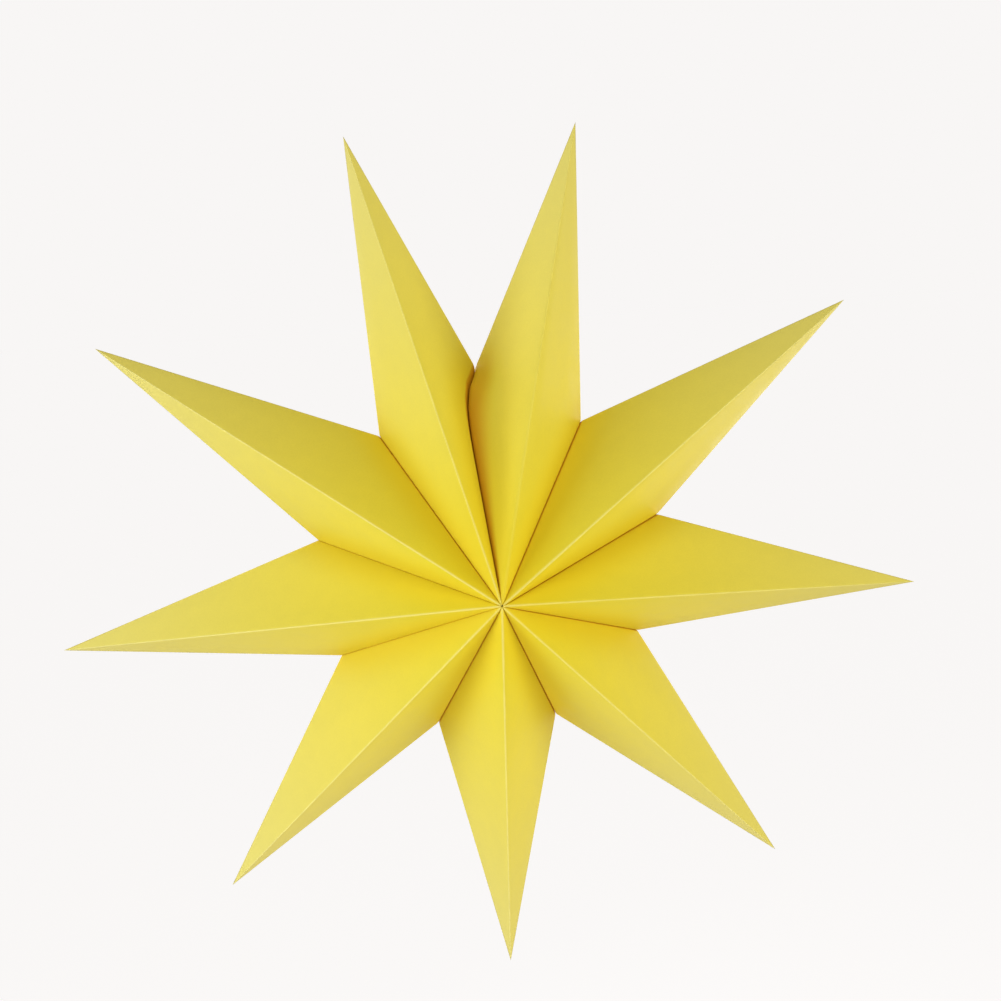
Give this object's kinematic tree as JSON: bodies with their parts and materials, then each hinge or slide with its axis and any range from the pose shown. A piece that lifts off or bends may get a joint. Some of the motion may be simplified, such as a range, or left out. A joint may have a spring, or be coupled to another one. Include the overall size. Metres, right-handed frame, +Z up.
{
  "type": "paper star",
  "caption": "Folded paper star: hollow four-sided rays of creased card, glued flap to flap in a ring, hung up as a decoration from the notch at its closing seam.",
  "frame": {"origin": "the notch at the outer end of the closing seam, in the middle plane of the star", "axes": "+Z up, along the closing seam and away from the star's centre; the front faces -Y, and Y is the star's own axis"},
  "size_m": [0.2979, 0.0958, 0.2952],
  "materials": {
    "card": "matte"
  },
  "bodies": {
    "root": {"ray_1": "card", "ray_2": "card", "ray_3": "card", "ray_4": "card", "ray_5": "card", "ray_6": "card", "ray_7": "card", "ray_8": "card", "ray_9": "card"}
  },
  "joints": []
}
